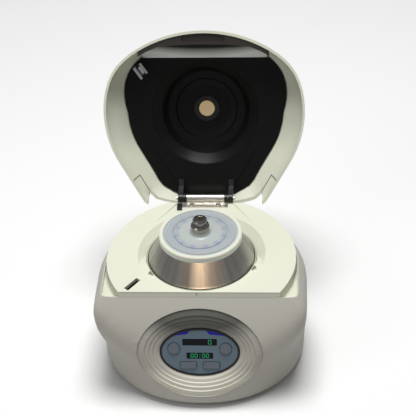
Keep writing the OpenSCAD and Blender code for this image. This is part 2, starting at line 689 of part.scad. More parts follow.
// Hinge
module hinge_leaf() {
    color(steel) difference() {
        union() {
            translate([-lug_in, hinge_y - leaf_hole - 4, channel_z])
                cube([2 * lug_in, leaf_hole - 4, leaf_t]);
            translate([-barrel_half, hinge_y - 8.1, channel_z]) cube([2 * barrel_half, 8, leaf_t]);
            translate([-barrel_half, hinge_y, hinge_z]) rotate([0, 90, 0])
                cylinder(r = barrel_r, h = 2 * barrel_half, $fn = 64);
        }
        translate([-barrel_half - over, hinge_y, hinge_z]) rotate([0, 90, 0])
            cylinder(d = pin_d + 0.1, h = 2 * barrel_half + 2 * over, $fn = 48);
        for (sx = [-1, 1]) translate([sx * 16, hinge_y - leaf_hole, 130]) cylinder(d = 3.2, h = 40, $fn = 24);
    }
}
module leaf_screws() {
    color(steel) for (sx = [-1, 1]) translate([sx * 16, hinge_y - leaf_hole, channel_z + leaf_t])
        screw(3, 8);
}
module hinge_pin() {
    color(steel) translate([-lug_in - lug_w - 2, hinge_y, hinge_z]) rotate([0, 90, 0])
        cylinder(d = pin_d, h = 2 * (lug_in + lug_w + 2), $fn = 48);
}
module hinge_spacers() {
    color(black) for (sx = [-1, 1]) translate([sx * (barrel_half + 2.5), hinge_y, hinge_z])
        rotate([0, 90, 0]) translate([0, 0, -2.2]) rotate_extrude($fn = 48)
            translate([pin_d / 2 + 0.15, 0]) square([3, 4.4]);
}
// one lid arm, from the pin up to the liner
module hinge_arm(side) {
    x = side > 0 ? lug_in : -lug_in - lug_w;
    color(black) lid_place() difference() {
        translate([x, 0, 0]) rotate([90, 0, 90]) linear_extrude(lug_w) union() {
            translate([hinge_y, hinge_z]) circle(r = 5.6, $fn = 48);
            polygon([[hinge_y + 3, hinge_z + 4.4], [hinge_y - 1, hinge_z + 7], [hinge_y - 4, liner_z],
                [hinge_y - 20, liner_z], [hinge_y - 20, liner_z - 3], [hinge_y - 12, liner_z - 5],
                [hinge_y - 5.4, hinge_z + 1]]);
        }
        translate([x - over, hinge_y, hinge_z]) rotate([0, 90, 0])
            cylinder(d = pin_d, h = lug_w + 2 * over, $fn = 48);
    }
}
module left_hinge_arm() { hinge_arm(-1); }
module right_hinge_arm() { hinge_arm(1); }
module hinge_stop() {
    color(black) translate([-lug_in - lug_w, deck_rear - 14, channel_z]) difference() {
        cube([lug_w, 13.5, 5]);
        translate([-over, 13.5, 7]) rotate([0, 90, 0]) cylinder(r = 6, h = 9, $fn = 48);
    }
}

// Latch
module latch_place() {
    translate([-latch_x, -latch_y, 0]) rotate(latch_turn) children();
}
case_top = flange_z;
case_low = 99;
hook_y = 6.7;
hook_z = 105;
module latch_case() {
    color(black) latch_place() difference() {
        translate([-15, -5.5, case_low]) cube([30, 17.5, case_top - case_low]);
        translate([-12.5, -3.5, case_low + 2]) cube([25, 13.5, 60]);
        translate([-20, hook_y, hook_z]) rotate([0, 90, 0]) cylinder(d = 3, h = 40, $fn = 32);
    }
}
module latch_pin() {
    color(steel) latch_place() translate([-15, hook_y, hook_z]) rotate([0, 90, 0])
        cylinder(d = 3, h = 30, $fn = 32);
}
module latch_hook() {
    color(steel) latch_place() difference() {
        union() {
            translate([-3, 0, 0]) rotate([90, 0, 90]) linear_extrude(6)
                polygon([[hook_y - 2.6, hook_z], [hook_y - 2.6, hook_z + 1], [5, striker_foot - 6],
                    [5, striker_foot + 5], [2.6, striker_foot + 5.6], [2.8, striker_foot + 8],
                    [5, striker_foot + 11], [8.2, striker_foot + 11], [8.6, striker_foot - 6],
                    [hook_y + 2.6, hook_z + 1], [hook_y + 2.6, hook_z]]);
            translate([-3, hook_y, hook_z]) rotate([0, 90, 0]) cylinder(r = 3, h = 6, $fn = 48);
        }
        translate([-4, hook_y, hook_z]) rotate([0, 90, 0]) cylinder(d = 3.1, h = 8, $fn = 32);
    }
}

// Electrics
module main_board() {
    color([0.1, 0.35, 0.2]) union() {
        translate([-62, 48, floor_top + 6]) cube([124, 32, 1.6]);
        for (x = [-56, 56], y = [54, 74]) translate([x, y, floor_top])
            cylinder(d = 6, h = 6.5, $fn = 32);
        for (x = [-48:16:0]) translate([x, 64, floor_top + 7.5]) cylinder(d = 10, h = 16, $fn = 32);
        translate([18, 54, floor_top + 7.5]) cube([30, 18, 12]);
    }
}
module transformer() {
    color([0.35, 0.33, 0.3]) translate([68, -32, floor_top]) union() {
        cube([34, 50, 3]);
        translate([2, 4, 2]) cube([30, 42, 34]);
        translate([5, -1, 9]) cube([24, 52, 20]);
    }
}
module power_inlet() {
    w = inlet_w;
    h = inlet_h;
    color(black) translate([inlet_x, rear_flat, power_z]) difference() {
        union() {
            translate([-w / 2, -22, -h / 2]) cube([w, 22, h]);
            translate([-w / 2 - 3, 0, -h / 2 - 3]) cube([w + 6, 2, h + 6]);
        }
        translate([-w / 2 + 2, -16, -1]) cube([w - 4, 30, h / 2]);
        translate([-w / 2 + 5, -16, -3]) cube([w - 10, 30, 5]);
        translate([-8, -12, -h / 2 + 1.2]) cube([16, 30, 4.6]);
    }
}
module fuse_drawer() {
    color(black) translate([inlet_x, rear_flat, power_z - inlet_h / 2 + 1.4])
        translate([-7.8, -11.6, 0]) cube([15.6, 14.4, 4.2]);
}
module switch_frame() {
    color(black) translate([switch_x, rear_flat, power_z]) difference() {
        union() {
            translate([-10, -18, -14]) cube([20, 18, 28]);
            translate([-12, 0, -16]) cube([24, 2, 32]);
        }
        translate([-8, -10, -12]) cube([16, 20, 24]);
        translate([-11, -3, 0]) rotate([0, 90, 0]) cylinder(d = 3, h = 22, $fn = 32);
    }
}
module power_switch() {
    color([0.15, 0.15, 0.16]) translate([switch_x, rear_flat - 3, power_z]) difference() {
        translate([-7.6, 0, 0]) rotate([90, 0, 90]) linear_extrude(15.2)
            polygon([[-3, -4], [-3, 4], [3.2, 11], [4.8, 10.6], [3.4, 0], [6.4, -10.4], [5, -11]]);
        translate([-9, 0, 0]) rotate([0, 90, 0]) cylinder(d = 3.1, h = 18, $fn = 32);
    }
}
module switch_pin() {
    color(steel) translate([switch_x - 10, rear_flat - 3, power_z]) rotate([0, 90, 0])
        cylinder(d = 3, h = 20, $fn = 32);
}

base_pan();
feet();
foot_screws();
housing();
top_deck();
oval_surround();
panel_rim();
control_panel();
speed_display();
time_display();
display_board();
left_round_button();
right_round_button();
lower_left_button();
lower_right_button();
chamber_bowl();
chamber_seal();
motor_body();
motor_flange();
motor_mounts();
shaft_bearing();
drive_shaft();
rotor();
rotor_stud();
rotor_cover();
cover_seal();
cover_knob();
lid_shell();
lid_liner();
liner_front_wall();
front_lip();
view_window();
window_ring();
striker();
hinge_leaf();
leaf_screws();
hinge_pin();
hinge_spacers();
left_hinge_arm();
right_hinge_arm();
hinge_stop();
latch_case();
latch_hook();
latch_pin();
main_board();
transformer();
power_inlet();
fuse_drawer();
switch_frame();
power_switch();
switch_pin();
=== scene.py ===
import bpy
from math import cos, radians, sin
from mathutils import Matrix, Vector


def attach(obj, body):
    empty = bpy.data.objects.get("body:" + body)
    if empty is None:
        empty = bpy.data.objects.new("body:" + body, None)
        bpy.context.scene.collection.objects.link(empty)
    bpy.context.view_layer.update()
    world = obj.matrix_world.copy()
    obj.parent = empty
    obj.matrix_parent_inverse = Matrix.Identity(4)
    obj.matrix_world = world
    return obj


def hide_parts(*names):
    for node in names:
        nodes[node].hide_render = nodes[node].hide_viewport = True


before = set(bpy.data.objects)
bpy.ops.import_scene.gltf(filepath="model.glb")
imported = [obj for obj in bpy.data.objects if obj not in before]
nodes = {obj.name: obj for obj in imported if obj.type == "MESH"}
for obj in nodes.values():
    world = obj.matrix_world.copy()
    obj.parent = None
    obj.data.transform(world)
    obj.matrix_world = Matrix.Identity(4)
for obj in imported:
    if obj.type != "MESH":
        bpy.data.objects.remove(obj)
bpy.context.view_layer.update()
scene = bpy.context.scene

# Places of the real pieces that the looks depend on, in metres
HINGE = Vector((0, 0.104, 0.148))
LID_OPEN = radians(114)
PANEL = Vector((0, -0.0993, 0.073))
PANEL_TURN = radians(70)
FILM_DEPTH = 0.0096
DISPLAY_DEPTH = 0.0099
RIM_HEIGHT = 0.1356
LEDGE_HEIGHT = 0.1520
LEDGE_TOP = 0.1532
STRIP_PROUD = 0.0004
BAR_WIDTH = 0.00062
PRINT_PROUD = 0.00002

# The photograph's frame, in pixels, and where the aim lands in it
FRAME_SIDE = 416
AIM_PIXEL = (201.5, 255.7)
PIXELS_PER_METRE = 849
FILM_WIDTH = 36  # the camera's own film, in millimetres

# Tube places, painted as soft blue spots of shade on the milky cover
TUBE_PLACES = 12

opened = Matrix.Translation(HINGE) @ Matrix.Rotation(-LID_OPEN, 4, "X") @ Matrix.Translation(-HINGE)


# ---- camera, at the photograph's place ----
def put_camera():
    azimuth, elevation, roll = radians(4.2), radians(36.7), 0.043
    distance = 1.615
    focal = PIXELS_PER_METRE * distance
    aim = Vector((0, 0, 0.14))
    middle = FRAME_SIDE / 2
    right = Vector((cos(azimuth), sin(azimuth), 0))
    back = Vector((sin(azimuth) * cos(elevation), -cos(azimuth) * cos(elevation), sin(elevation)))
    up = back.cross(right)
    across = right * cos(roll) - up * sin(roll)
    upward = up * cos(roll) + right * sin(roll)
    offset = across * ((AIM_PIXEL[0] - middle) / focal) + upward * ((middle - AIM_PIXEL[1]) / focal)
    place = aim + back * distance - offset * distance
    data = bpy.data.cameras.new("camera")
    data.sensor_fit = "HORIZONTAL"
    data.sensor_width = FILM_WIDTH
    data.lens = focal * FILM_WIDTH / FRAME_SIDE
    data.clip_start = 0.05
    data.clip_end = 50
    camera = bpy.data.objects.new("camera", data)
    scene.collection.objects.link(camera)
    turned = Matrix((across, upward, back)).transposed().to_4x4()
    camera.matrix_world = Matrix.Translation(place) @ turned
    scene.camera = camera


# ---- materials ----
def group(name, inputs, outputs):
    """A shader node group with named sockets; returns it with its input and output nodes."""
    tree = bpy.data.node_groups.new(name, "ShaderNodeTree")
    for label, kind, value in inputs:
        socket = tree.interface.new_socket(label, in_out="INPUT", socket_type="NodeSocket" + kind)
        socket.default_value = value
    for label, kind in outputs:
        tree.interface.new_socket(label, in_out="OUTPUT", socket_type="NodeSocket" + kind)
    return tree, tree.nodes.new("NodeGroupInput"), tree.nodes.new("NodeGroupOutput")


def node(tree, kind, **settings):
    made = tree.nodes.new("ShaderNode" + kind)
    for key, value in settings.items():
        if key in made.inputs:
            made.inputs[key].default_value = value
        else:
            setattr(made, key, value)
    return made


def math(tree, operation, a, b=None, clamp=False):
    made = tree.nodes.new("ShaderNodeMath")
    made.operation = operation
    made.use_clamp = clamp
    for i, value in enumerate((a, b)):
        if value is None:
            continue
        if hasattr(value, "links"):
            tree.links.new(value, made.inputs[i])
        else:
            made.inputs[i].default_value = value
    return made.outputs[0]


def moulded_surface():
    """Fine moulded texture: a height, and a roughness that drifts a little as on moulded plastic."""
    tree, given, result = group(
        "moulded surface",
        [("Grain Scale", "Float", 900.0), ("Cloud Scale", "Float", 9.0), ("Roughness", "Float", 0.4),
         ("Roughness Drift", "Float", 0.1)],
        [("Height", "Float"), ("Roughness", "Float")])
    place = node(tree, "TexCoord")
    grain = node(tree, "TexNoise", Detail=2.0)
    cloud = node(tree, "TexNoise", Detail=3.0)
    for texture, label in ((grain, "Grain Scale"), (cloud, "Cloud Scale")):
        tree.links.new(place.outputs["Object"], texture.inputs["Vector"])
        tree.links.new(given.outputs[label], texture.inputs["Scale"])
    drift = math(tree, "SUBTRACT", cloud.outputs["Fac"], 0.5)
    drift = math(tree, "MULTIPLY", drift, given.outputs["Roughness Drift"])
    rough = math(tree, "ADD", given.outputs["Roughness"], drift, clamp=True)
    tree.links.new(grain.outputs["Fac"], result.inputs["Height"])
    tree.links.new(rough, result.inputs["Roughness"])
    return tree


def tinted_colour():
    """A base colour with a slow change of tone and faint dust in it."""
    tree, given, result = group(
        "tinted colour",
        [("Colour", "Color", (0.8, 0.8, 0.8, 1)), ("Shade", "Color", (0.6, 0.6, 0.6, 1)),
         ("Amount", "Float", 0.3), ("Scale", "Float", 12.0), ("Dust", "Float", 0.02)],
        [("Colour", "Color")])
    place = node(tree, "TexCoord")
    cloud = node(tree, "TexNoise", Detail=4.0, Roughness=0.6)
    speck = node(tree, "TexNoise", Scale=700.0, Detail=2.0)
    tree.links.new(place.outputs["Object"], cloud.inputs["Vector"])
    tree.links.new(place.outputs["Object"], speck.inputs["Vector"])
    tree.links.new(given.outputs["Scale"], cloud.inputs["Scale"])
    amount = math(tree, "MULTIPLY", cloud.outputs["Fac"], given.outputs["Amount"], clamp=True)
    mix = node(tree, "Mix", data_type="RGBA")
    tree.links.new(amount, mix.inputs["Factor"])
    tree.links.new(given.outputs["Colour"], mix.inputs[6])
    tree.links.new(given.outputs["Shade"], mix.inputs[7])
    sharp = math(tree, "SUBTRACT", speck.outputs["Fac"], 0.62)
    sharp = math(tree, "MULTIPLY", sharp, 6.0, clamp=True)
    sharp = math(tree, "MULTIPLY", sharp, given.outputs["Dust"])
    dusty = node(tree, "Mix", data_type="RGBA")
    dusty.inputs[7].default_value = (0.75, 0.74, 0.7, 1)
    tree.links.new(sharp, dusty.inputs["Factor"])
    tree.links.new(mix.outputs[2], dusty.inputs[6])
    tree.links.new(dusty.outputs[2], result.inputs["Colour"])
    return tree


def radius_of(tree):
    """The distance from the rotor's axis, and the angle round it, at each point of a surface."""
    place = node(tree, "TexCoord")
    split = node(tree, "SeparateXYZ")
    tree.links.new(place.outputs["Object"], split.inputs[0])
    xx = math(tree, "MULTIPLY", split.outputs["X"], split.outputs["X"])
    yy = math(tree, "MULTIPLY", split.outputs["Y"], split.outputs["Y"])
    angle = math(tree, "ARCTAN2", split.outputs["Y"], split.outputs["X"])
    return math(tree, "SQRT", math(tree, "ADD", xx, yy)), angle


def turned_rings():
    """Fine grooves round the rotor's axis, as a lathe leaves them."""
    tree, given, result = group(
        "turned rings",
        [("Pitch", "Float", 2600.0), ("Waver", "Float", 0.3)],
        [("Height", "Float"), ("Streak", "Float")])
    place = node(tree, "TexCoord")
    split = node(tree, "SeparateXYZ")
    tree.links.new(place.outputs["Object"], split.inputs[0])
    radius, angle = radius_of(tree)
    along = math(tree, "SUBTRACT", radius, split.outputs["Z"])
    line = node(tree, "TexNoise", noise_dimensions="1D", Detail=3.0, Roughness=0.7)
    tree.links.new(along, line.inputs["W"])
    tree.links.new(given.outputs["Pitch"], line.inputs["Scale"])
    wide = node(tree, "TexNoise", Scale=30.0, Detail=2.0)
    tree.links.new(place.outputs["Object"], wide.inputs["Vector"])
    waver = math(tree, "MULTIPLY", wide.outputs["Fac"], given.outputs["Waver"])
    streak = math(tree, "ADD", line.outputs["Fac"], waver)
    tree.links.new(line.outputs["Fac"], result.inputs["Height"])
    tree.links.new(streak, result.inputs["Streak"])
    return tree


MOULDED = moulded_surface()
TINTED = tinted_colour()
TURNED = turned_rings()


def material(name, **settings):
    """A new material with a Principled BSDF, its plain values set on the shader's own sockets."""
    made = bpy.data.materials.new(name)
    made.use_nodes = True
    shader = made.node_tree.nodes["Principled BSDF"]
    for key, value in settings.items():
        shader.inputs[key.replace("_", " ")].default_value = value
    return made, made.node_tree, shader


def use_group(tree, which, **values):
    made = tree.nodes.new("ShaderNodeGroup")
    made.node_tree = which
    for key, value in values.items():
        made.inputs[key.replace("_", " ")].default_value = value
    return made


def moulded(name, colour, shade, rough, amount=0.3, cloud=9.0, grain=900.0, bump=0.05, dust=0.02,
            drift=0.1, depth=0.0002, **settings):
    made, tree, shader = material(name, **settings)
    tint = use_group(tree, TINTED, Colour=(*colour, 1), Shade=(*shade, 1), Amount=amount, Scale=cloud,
                     Dust=dust)
    surface = use_group(tree, MOULDED, Grain_Scale=grain, Cloud_Scale=cloud * 1.7, Roughness=rough,
                        Roughness_Drift=drift)
    relief = node(tree, "Bump", Strength=bump, Distance=depth)
    tree.links.new(tint.outputs["Colour"], shader.inputs["Base Color"])
    tree.links.new(surface.outputs["Roughness"], shader.inputs["Roughness"])
    tree.links.new(surface.outputs["Height"], relief.inputs["Height"])
    tree.links.new(relief.outputs["Normal"], shader.inputs["Normal"])
    return made


def turned_metal(name, colour, rough, pitch=2600.0, bump=0.1, spin=0.0, **settings):
    made, tree, shader = material(name, Metallic=1.0, **settings)
    rings = use_group(tree, TURNED, Pitch=pitch)
    ramp = node(tree, "Mix", data_type="RGBA")
    ramp.inputs[6].default_value = (*[c * 0.86 for c in colour], 1)
    ramp.inputs[7].default_value = (*colour, 1)
    tree.links.new(rings.outputs["Streak"], ramp.inputs["Factor"])
    tree.links.new(ramp.outputs[2], shader.inputs["Base Color"])
    spread = math(tree, "MULTIPLY", rings.outputs["Streak"], 0.12)
    tree.links.new(math(tree, "ADD", spread, rough - 0.06), shader.inputs["Roughness"])
    relief = node(tree, "Bump", Strength=bump, Distance=0.0001)
    tree.links.new(rings.outputs["Height"], relief.inputs["Height"])
    tree.links.new(relief.outputs["Normal"], shader.inputs["Normal"])
    if spin:
        shader.inputs["Anisotropic"].default_value = spin
        around = node(tree, "Tangent", direction_type="RADIAL", axis="Z")
        tree.links.new(around.outputs[0], shader.inputs["Tangent"])
    return made


def blend(tree, mask, below, above):
    """Mixes two colours by a mask; each is a socket or a plain colour."""
    mix = node(tree, "Mix", data_type="RGBA")
    tree.links.new(mask, mix.inputs["Factor"])
    for value, socket in ((below, mix.inputs[6]), (above, mix.inputs[7])):
        if hasattr(value, "links"):
            tree.links.new(value, socket)
        else:
            socket.default_value = (*value, 1)
    return mix.outputs[2]


def step_up(tree, value, start, soft):
    """0 below the start and 1 above it, with a soft edge this wide."""
    return math(tree, "MULTIPLY", math(tree, "SUBTRACT", value, start), 1 / soft, clamp=True)


def panel_place(tree):
    """How far up the sloping panel a point lies from its middle, and how far to the side."""
    place = node(tree, "TexCoord")
    turn = node(tree, "Mapping", vector_type="TEXTURE", Location=PANEL, Rotation=(PANEL_TURN, 0, 0))
    split = node(tree, "SeparateXYZ")
    tree.links.new(place.outputs["Object"], turn.inputs["Vector"])
    tree.links.new(turn.outputs[0], split.inputs[0])
    return split.outputs["Y"], split.outputs["X"]


def keypad_film():
    """The printed blue-grey film, with a deep blue wing on each side of its top edge."""
    made = moulded("keypad film", (0.135, 0.19, 0.235), (0.11, 0.155, 0.195), 0.38, bump=0.03)
    tree = made.node_tree
    shader = tree.nodes["Principled BSDF"]
    film = shader.inputs["Base Color"].links[0].from_socket
    high, side = panel_place(tree)
    side = math(tree, "ABSOLUTE", math(tree, "ADD", side, 0.0017))
    lower = math(tree, "ADD", high, math(tree, "MULTIPLY", side, 0.09))
    inner = math(tree, "ADD", side, math(tree, "MULTIPLY", high, 0.8))
    wing = math(tree, "MULTIPLY", step_up(tree, lower, 0.0228, 0.0003),
                step_up(tree, inner, 0.0303, 0.0003))
    tree.links.new(blend(tree, wing, film, (0.010, 0.002, 0.40)), shader.inputs["Base Color"])
    return made


def milky_cover():
    """Milky plastic, bluer in a ring round the middle, with painted shade of the tube places as soft blue
    spots.
    """
    made = moulded("milky cover", (0.48, 0.515, 0.49), (0.41, 0.45, 0.455), 0.3, amount=0.5, cloud=30.0,
                   bump=0.03, Subsurface_Weight=0.3, Subsurface_Scale=0.006, Coat_Weight=0.3,
                   Coat_Roughness=0.15)
    tree = made.node_tree
    shader = tree.nodes["Principled BSDF"]
    milk = shader.inputs["Base Color"].links[0].from_socket
    radius, angle = radius_of(tree)
    band = math(tree, "MULTIPLY", step_up(tree, radius, 0.024, 0.003),
                math(tree, "SUBTRACT", 1.0, step_up(tree, radius, 0.039, 0.004)))
    band = math(tree, "MULTIPLY", band, 0.75)
    # Painted shade of the tube places: soft blue spots round the axis
    wave = math(tree, "COSINE", math(tree, "MULTIPLY", math(tree, "ADD", angle, radians(15)), TUBE_PLACES))
    round_spot = step_up(tree, wave, -0.2, 1.2)
    near = math(tree, "ABSOLUTE", math(tree, "SUBTRACT", radius, 0.0285))
    near = math(tree, "SUBTRACT", 1.0, math(tree, "MULTIPLY", near, 1 / 0.0055, clamp=True))
    painted_tube_shade = math(tree, "MULTIPLY", math(tree, "MULTIPLY", round_spot, near), 0.75)
    colour = blend(tree, band, milk, (0.385, 0.42, 0.455))
    colour = blend(tree, painted_tube_shade, colour, (0.25, 0.31, 0.46))
    edge = step_up(tree, radius, 0.043, 0.002)
    colour = blend(tree, edge, colour, (0.74, 0.76, 0.66))
    tree.links.new(colour, shader.inputs["Base Color"])
    return made


def cone_metal():
    """Turned aluminium of the rotor, whose fine grooves draw the light out into upright streaks; darker
    sectors round the axis are painted dark streaks of reflection.
    """
    made = turned_metal("turned aluminium", (0.57, 0.56, 0.53), 0.30, pitch=2200.0, bump=0.1, spin=0.85)
    tree = made.node_tree
    shader = tree.nodes["Principled BSDF"]
    metal = shader.inputs["Base Color"].links[0].from_socket
    radius, angle = radius_of(tree)
    # Darker sectors by angle round the axis: painted dark reflection streaks
    fan = node(tree, "TexNoise", noise_dimensions="1D", Scale=2.6, Detail=4.0, Roughness=0.55)
    tree.links.new(angle, fan.inputs["W"])
    painted_dark_streak = step_up(tree, fan.outputs["Fac"], 0.42, 0.25)
    tree.links.new(blend(tree, painted_dark_streak, metal, (0.34, 0.335, 0.32)), shader.inputs["Base Color"])
    return made


def shaded_frame():
    """The stepped oval frame: pale painted light below the keypad and darker painted shade above it, by
    height up the panel.
    """
    made = moulded("surround plastic", (0.50, 0.48, 0.42), (0.455, 0.435, 0.38), 0.42, grain=1400.0,
                   bump=0.12)
    tree = made.node_tree
    shader = tree.nodes["Principled BSDF"]
    pale = shader.inputs["Base Color"].links[0].from_socket
    high, side = panel_place(tree)
    # Masks: painted shade over the upper part of the frame, painted light over its lower part
    reach = math(tree, "SUBTRACT", high, math(tree, "MULTIPLY", math(tree, "MULTIPLY", side, side), 6.0))
    above = math(tree, "MULTIPLY", step_up(tree, reach, 0.002, 0.026), 0.9)
    below = math(tree, "SUBTRACT", -0.018, high)
    below = math(tree, "MULTIPLY", step_up(tree, below, 0.0, 0.016), 0.75)
    # The dark colour is the painted shade, the pale colour the painted light
    colour = blend(tree, above, pale, (0.085, 0.085, 0.075))
    colour = blend(tree, below, colour, (0.82, 0.80, 0.66))
    tree.links.new(colour, shader.inputs["Base Color"])
    return made


def graded_wall():
    """The liner's front wall: satin black, with a painted grey sheen, a painted highlight, along the fold
    under a shallow arc.
    """
    made = moulded("liner wall plastic", (0.016, 0.017, 0.017), (0.028, 0.029, 0.029), 0.42, dust=0.03,
                   Specular_IOR_Level=0.3)
    tree = made.node_tree
    shader = tree.nodes["Principled BSDF"]
    black = shader.inputs["Base Color"].links[0].from_socket
    place = node(tree, "TexCoord")
    split = node(tree, "SeparateXYZ")
    tree.links.new(place.outputs["Object"], split.inputs[0])
    lean = math(tree, "MULTIPLY", math(tree, "SUBTRACT", split.outputs["Y"], HINGE.y), sin(LID_OPEN))
    drop = math(tree, "MULTIPLY", math(tree, "SUBTRACT", split.outputs["Z"], HINGE.z), cos(LID_OPEN))
    height = math(tree, "ADD", math(tree, "ADD", lean, drop), HINGE.z)
    bow = math(tree, "MULTIPLY", math(tree, "MULTIPLY", split.outputs["X"], split.outputs["X"]), 3.6)
    # Painted grey highlight along the fold, bowed into a shallow arc
    painted_sheen = step_up(tree, math(tree, "ADD", height, bow), 0.1490, 0.020)
    tree.links.new(blend(tree, painted_sheen, black, (0.86, 0.86, 0.85)), shader.inputs["Base Color"])
    return made


def glowing_digits():
    made, tree, shader = material("lit digits", Roughness=0.4)
    surface = use_group(tree, MOULDED, Grain_Scale=1500.0, Cloud_Scale=300.0, Roughness=0.5,
                        Roughness_Drift=0.2)
    tree.links.new(blend(tree, surface.outputs["Height"], (0.0, 0.30, 0.08), (0.02, 0.55, 0.20)),
                   shader.inputs["Base Color"])
    tree.links.new(blend(tree, surface.outputs["Height"], (0.0, 0.30, 0.09), (0.02, 0.50, 0.18)),
                   shader.inputs["Emission Color"])
    shader.inputs["Emission Strength"].default_value = 0.35
    return made


CREAM = moulded("cream plastic", (0.72, 0.73, 0.60), (0.68, 0.69, 0.56), 0.48, bump=0.04,
                Coat_Weight=0.05, Coat_Roughness=0.3)
STONE = moulded("stone plastic", (0.56, 0.54, 0.475), (0.51, 0.49, 0.43), 0.5, grain=1400.0, bump=0.16)
SURROUND = shaded_frame()
# Dark colour of the deck's seam mark and of the painted shade lines along the lid's ledges and steps
SEAM_AND_SHADE_LINE = moulded("seam and painted shade line", (0.26, 0.255, 0.20), (0.20, 0.195, 0.155), 0.6)
BLACK = moulded("black plastic", (0.010, 0.010, 0.011), (0.02, 0.02, 0.02), 0.36, bump=0.1)
LINER = moulded("liner plastic", (0.0055, 0.006, 0.0057), (0.010, 0.0105, 0.010), 0.34, cloud=14.0,
                bump=0.12, grain=500.0, dust=0.02, Specular_IOR_Level=0.18)
WALL = graded_wall()
BROWN = moulded("lip plastic", (0.032, 0.026, 0.021), (0.042, 0.036, 0.029), 0.42)
FILM = keypad_film()
KEYS = moulded("key film", (0.145, 0.17, 0.20), (0.115, 0.135, 0.165), 0.34, bump=0.03)
INK = moulded("dark print", (0.035, 0.05, 0.065), (0.05, 0.065, 0.08), 0.4, bump=0.02)
DIGITS = glowing_digits()
SMOKED = moulded("smoked window", (0.005, 0.005, 0.010), (0.008, 0.008, 0.014), 0.3, bump=0.0, dust=0.01,
                 Specular_IOR_Level=0.25)
RUBBER = moulded("black rubber", (0.018, 0.018, 0.018), (0.03, 0.03, 0.03), 0.75, bump=0.2)
SEAL = moulded("seal rubber", (0.40, 0.42, 0.33), (0.33, 0.35, 0.27), 0.45, bump=0.12)
PAINT = moulded("motor paint", (0.05, 0.05, 0.055), (0.08, 0.08, 0.08), 0.45)
BOARD = moulded("circuit board", (0.02, 0.12, 0.05), (0.03, 0.15, 0.07), 0.4, grain=300.0)
STEEL = turned_metal("brushed steel", (0.62, 0.61, 0.59), 0.34, pitch=3200.0)
HINGE_STEEL = turned_metal("polished steel", (0.80, 0.77, 0.70), 0.3, pitch=300.0, bump=0.0)
CHROME = turned_metal("bright chrome", (0.84, 0.84, 0.84), 0.12, pitch=900.0, bump=0.02)
DARK = turned_metal("dark chrome", (0.36, 0.34, 0.31), 0.10, pitch=1500.0, bump=0.04)
ALUMINIUM = cone_metal()
MILKY = milky_cover()
AMBER = moulded("amber window", (0.70, 0.60, 0.37), (0.50, 0.41, 0.24), 0.3, amount=0.7, cloud=90.0,
                bump=0.05, Subsurface_Weight=0.3, Subsurface_Scale=0.004)

dress = {
    CREAM: ["top_deck", "lid_shell"],
    STONE: ["housing", "base_pan"],
    SURROUND: ["oval_surround"],
    BLACK: ["hinge_spacers", "left_hinge_arm", "right_hinge_arm", "hinge_stop", "latch_case",
            "power_inlet", "fuse_drawer", "switch_frame", "power_switch", "panel_rim", "window_ring"],
    LINER: ["lid_liner"],
    WALL: ["liner_front_wall"],
    BROWN: ["front_lip"],
    FILM: ["control_panel"],
    KEYS: ["left_round_button", "right_round_button", "lower_left_button", "lower_right_button"],
    SMOKED: ["speed_display", "time_display"],
    RUBBER: ["feet", "motor_mounts"],
    SEAL: ["chamber_seal"],
    PAINT: ["motor_body", "transformer"],
    BOARD: ["display_board", "main_board"],
    HINGE_STEEL: ["hinge_leaf", "hinge_pin", "leaf_screws"],
    STEEL: ["chamber_bowl", "shaft_bearing", "drive_shaft", "motor_flange",
            "foot_screws", "latch_hook", "latch_pin", "switch_pin", "rotor_stud"],
    CHROME: ["striker"],
    DARK: ["cover_knob"],
    ALUMINIUM: ["rotor"],
    MILKY: ["rotor_cover", "cover_seal"],
    AMBER: ["view_window"],
}
for finish, names in dress.items():
    for name in names:
        mesh = nodes[name].data
        mesh.materials.clear()
        mesh.materials.append(finish)


def deselect():
    if bpy.context.object and bpy.context.object.mode != "OBJECT":
        bpy.ops.object.mode_set(mode="OBJECT")
    bpy.ops.object.select_all(action="DESELECT")


# ---- pieces that replace or are added to the solids ----
def in_edit(piece):
    """Selects the whole of one piece in edit mode."""
    deselect()
    piece.select_set(True)
    bpy.context.view_layer.objects.active = piece
    bpy.ops.object.mode_set(mode="EDIT")
    bpy.ops.mesh.select_all(action="SELECT")


def finished(piece, name, finish, body, degrees=30):
    """Applies the piece's place, turns its faces outwards, and gives it its finish and its body."""
    deselect()
    piece.name = name
    piece.data.name = name
    piece.select_set(True)
    bpy.context.view_layer.objects.active = piece
    bpy.ops.object.transform_apply(location=True, rotation=True, scale=True)
    in_edit(piece)
    bpy.ops.mesh.remove_doubles(threshold=0.000002)
    bpy.ops.mesh.normals_make_consistent(inside=False)
    bpy.ops.object.mode_set(mode="OBJECT")
    bpy.ops.object.shade_smooth_by_angle(angle=radians(degrees))
    piece.data.materials.clear()
    piece.data.materials.append(finish)
    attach(piece, body)
    deselect()
    return piece


def joined(pieces):
    deselect()
    for piece in pieces:
        piece.select_set(True)
    bpy.context.view_layer.objects.active = pieces[0]
    bpy.ops.object.join()
    return pieces[0]


def copied(piece, place, turn=0.0, scale=(1, 1, 1)):
    """A copy with its own mesh, turned in its own plane and moved."""
    copy = bpy.data.objects.new(piece.name, piece.data.copy())
    scene.collection.objects.link(copy)
    copy.location = place
    copy.rotation_euler = (0, 0, turn)
    copy.scale = scale
    return copy


def on_panel(piece, depth):
    """Lays a flat piece in the sloping panel, its back this far below the frame's face."""
    sunk = Matrix.Translation((0, 0, -depth))
    lay = Matrix.Translation(PANEL) @ Matrix.Rotation(PANEL_TURN, 4, "X") @ sunk
    piece.matrix_world = lay @ piece.matrix_basis


def thick(height):
    bpy.ops.mesh.select_all(action="SELECT")
    bpy.ops.mesh.extrude_region_move(TRANSFORM_OT_translate={"value": (0, 0, height)})
    bpy.ops.object.mode_set(mode="OBJECT")


